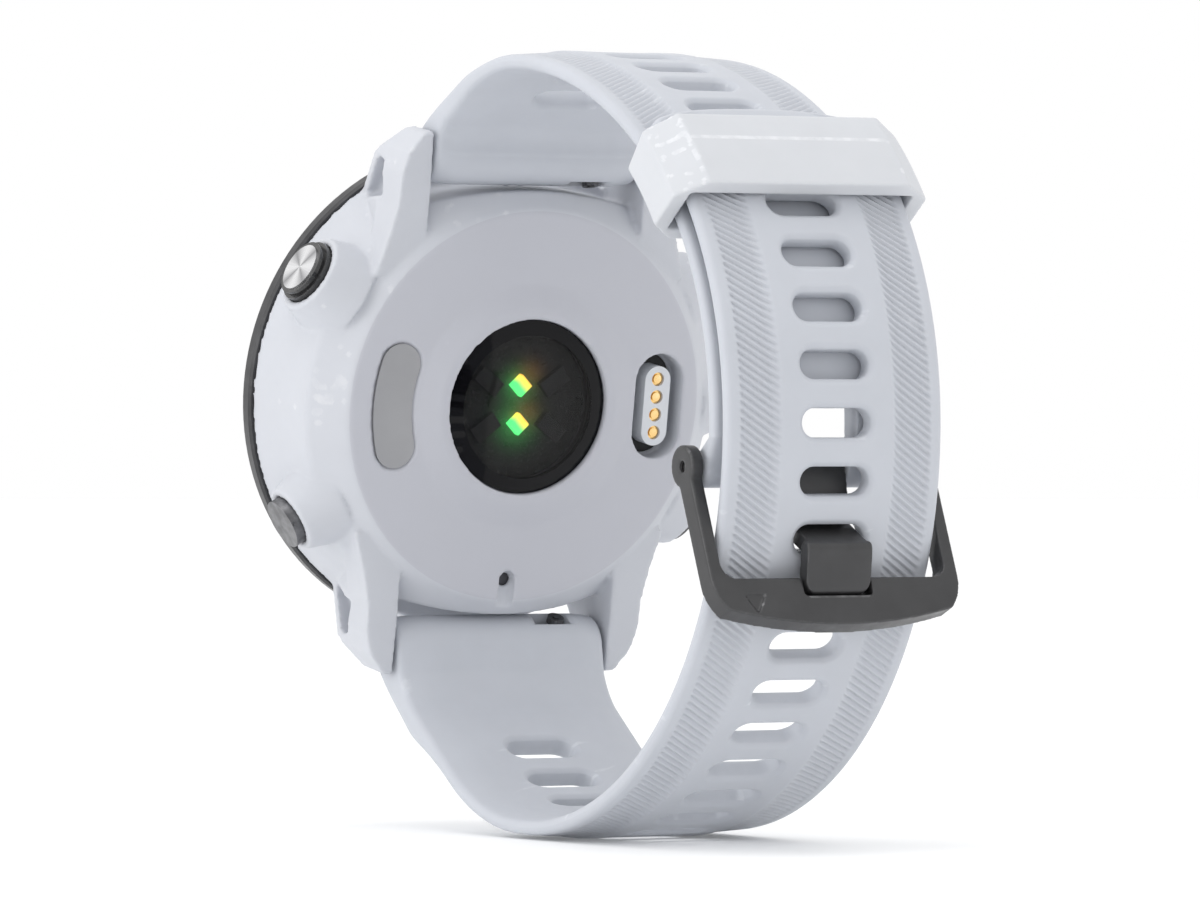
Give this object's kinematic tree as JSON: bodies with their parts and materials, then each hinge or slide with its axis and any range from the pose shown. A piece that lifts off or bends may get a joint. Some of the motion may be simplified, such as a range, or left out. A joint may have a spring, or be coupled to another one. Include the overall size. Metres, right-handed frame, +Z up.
{
  "type": "gps running watch",
  "caption": "Round sports watch with side buttons, a back optical sensor and charging port, and a silicone strap closed into a wrist loop by a buckle and keeper.",
  "frame": {"origin": "bottom centre of the bounding box, on the surface that the closed strap loop stands on", "axes": "+Z up, the display faces -Y and leans back, the case back and the strap loop lie towards +Y, +X is the 3 o'clock side with the start button"},
  "size_m": [0.0473, 0.0754, 0.072],
  "materials": {
    "antenna_plate": "plated",
    "battery_foil": "foil pouch",
    "bezel_black": "satin black polymer",
    "board_green": "solder mask",
    "buckle_gunmetal": "satin gunmetal coat",
    "button_gunmetal": "satin dark coat",
    "case_plastic": "satin",
    "chassis_metal": "satin",
    "chip_black": "matt",
    "cover_glass": "gloss black glass",
    "diode_dark": "gloss",
    "display_black": "gloss",
    "flex_polyimide": "satin",
    "gasket_rubber": "matt",
    "gold": "gold plated",
    "keeper_silicone": "matt silicone",
    "led_green": "clear lens",
    "membrane_grey": "matt",
    "port_white": "satin",
    "sensor_glass": "gloss black glass",
    "start_disc": "radial brushed",
    "start_ring_black": "gloss",
    "steel": "brushed",
    "strap_silicone": "matt silicone, bluish white"
  },
  "bodies": {
    "case": {"case_body": "case_plastic", "bezel_ring": "bezel_black", "display_lens": "cover_glass", "lens_gasket": "gasket_rubber", "display_panel": "display_black", "display_flex": "flex_polyimide", "antenna_ring": "antenna_plate", "chassis_plate": "chassis_metal", "chassis_screws": "steel", "main_board": "board_green", "shield_cans": "steel", "board_chips": "chip_black", "battery": "battery_foil", "vibration_motor": "steel", "pressure_sensor": "steel", "vent_membrane": "membrane_grey", "sensor_window": "sensor_glass", "sensor_gasket": "gasket_rubber", "sensor_board": "board_green", "sensor_leds": "led_green", "photodiodes": "diode_dark", "charge_port_insert": "port_white", "charge_contacts": "gold", "charge_port_seal": "gasket_rubber", "back_plate": "steel", "button_sleeves": "steel", "button_o_rings": "gasket_rubber", "button_switches": "chip_black"},
    "start_button": {"start_cap": "start_disc", "start_ring": "start_ring_black", "start_stem": "steel", "start_clip": "steel"},
    "back_button": {"back_cap": "button_gunmetal", "back_stem": "steel", "back_clip": "steel"},
    "light_button": {"light_cap": "button_gunmetal", "light_stem": "steel", "light_clip": "steel"},
    "up_button": {"up_cap": "button_gunmetal", "up_stem": "steel", "up_clip": "steel"},
    "down_button": {"down_cap": "button_gunmetal", "down_stem": "steel", "down_clip": "steel"},
    "upper_strap": {"upper_strap": "strap_silicone", "upper_bar_tube": "steel", "upper_bar_spring": "steel"},
    "upper_release": {"upper_release_pin": "steel"},
    "lower_strap": {"lower_strap": "strap_silicone", "lower_bar_tube": "steel", "lower_bar_spring": "steel"},
    "lower_release": {"lower_release_pin": "steel"},
    "buckle": {"buckle_frame": "buckle_gunmetal", "buckle_pin": "steel"},
    "tongue": {"tongue": "buckle_gunmetal"},
    "keeper": {"keeper": "keeper_silicone"}
  },
  "joints": [
    {"name": "start_press", "type": "slide", "parent": "case", "child": "start_button", "axis": [-0.8746, -0.08, -0.4782], "range_m": [0, 0.00045], "stiffness_N_per_m": 1500},
    {"name": "back_press", "type": "slide", "parent": "case", "child": "back_button", "axis": [-0.8746, 0.08, 0.4782], "range_m": [0, 0.00045], "stiffness_N_per_m": 1500},
    {"name": "light_press", "type": "slide", "parent": "case", "child": "light_button", "axis": [0.8746, -0.08, -0.4782], "range_m": [0, 0.00045], "stiffness_N_per_m": 1500},
    {"name": "up_press", "type": "slide", "parent": "case", "child": "up_button", "axis": [1, 0, 0], "range_m": [0, 0.00045], "stiffness_N_per_m": 1500},
    {"name": "down_press", "type": "slide", "parent": "case", "child": "down_button", "axis": [0.8746, 0.08, 0.4782], "range_m": [0, 0.00045], "stiffness_N_per_m": 1500},
    {"name": "upper_strap_swing", "type": "hinge", "parent": "case", "child": "upper_strap", "pos_m": [0, -0.0203, 0.06293], "axis": [1, 0, 0], "range_deg": [0, 75]},
    {"name": "lower_strap_swing", "type": "hinge", "parent": "case", "child": "lower_strap", "pos_m": [0, -0.02795, 0.01716], "axis": [-1, 0, 0], "range_deg": [0, 80], "deforming": ["lower_strap"]},
    {"name": "upper_release_slide", "type": "slide", "parent": "upper_strap", "child": "upper_release", "axis": [1, 0, 0], "range_m": [0, 0.0014], "stiffness_N_per_m": 800, "deforming": ["upper_bar_spring"]},
    {"name": "lower_release_slide", "type": "slide", "parent": "lower_strap", "child": "lower_release", "axis": [1, 0, 0], "range_m": [0, 0.0014], "stiffness_N_per_m": 800, "deforming": ["lower_bar_spring"]},
    {"name": "buckle_swing", "type": "hinge", "parent": "upper_strap", "child": "buckle", "pos_m": [0, 0.03075, 0.03406], "axis": [1, 0, 0], "range_deg": [0, 75]},
    {"name": "tongue_swing", "type": "hinge", "parent": "buckle", "child": "tongue", "pos_m": [0, 0.03075, 0.03406], "axis": [1, 0, 0], "range_deg": [0, 35]},
    {"name": "keeper_slide", "type": "hinge", "parent": "upper_strap", "child": "keeper", "pos_m": [0, 0.00303, 0.038], "axis": [1, 0, 0], "range_deg": [-30, 1.5]}
  ]
}
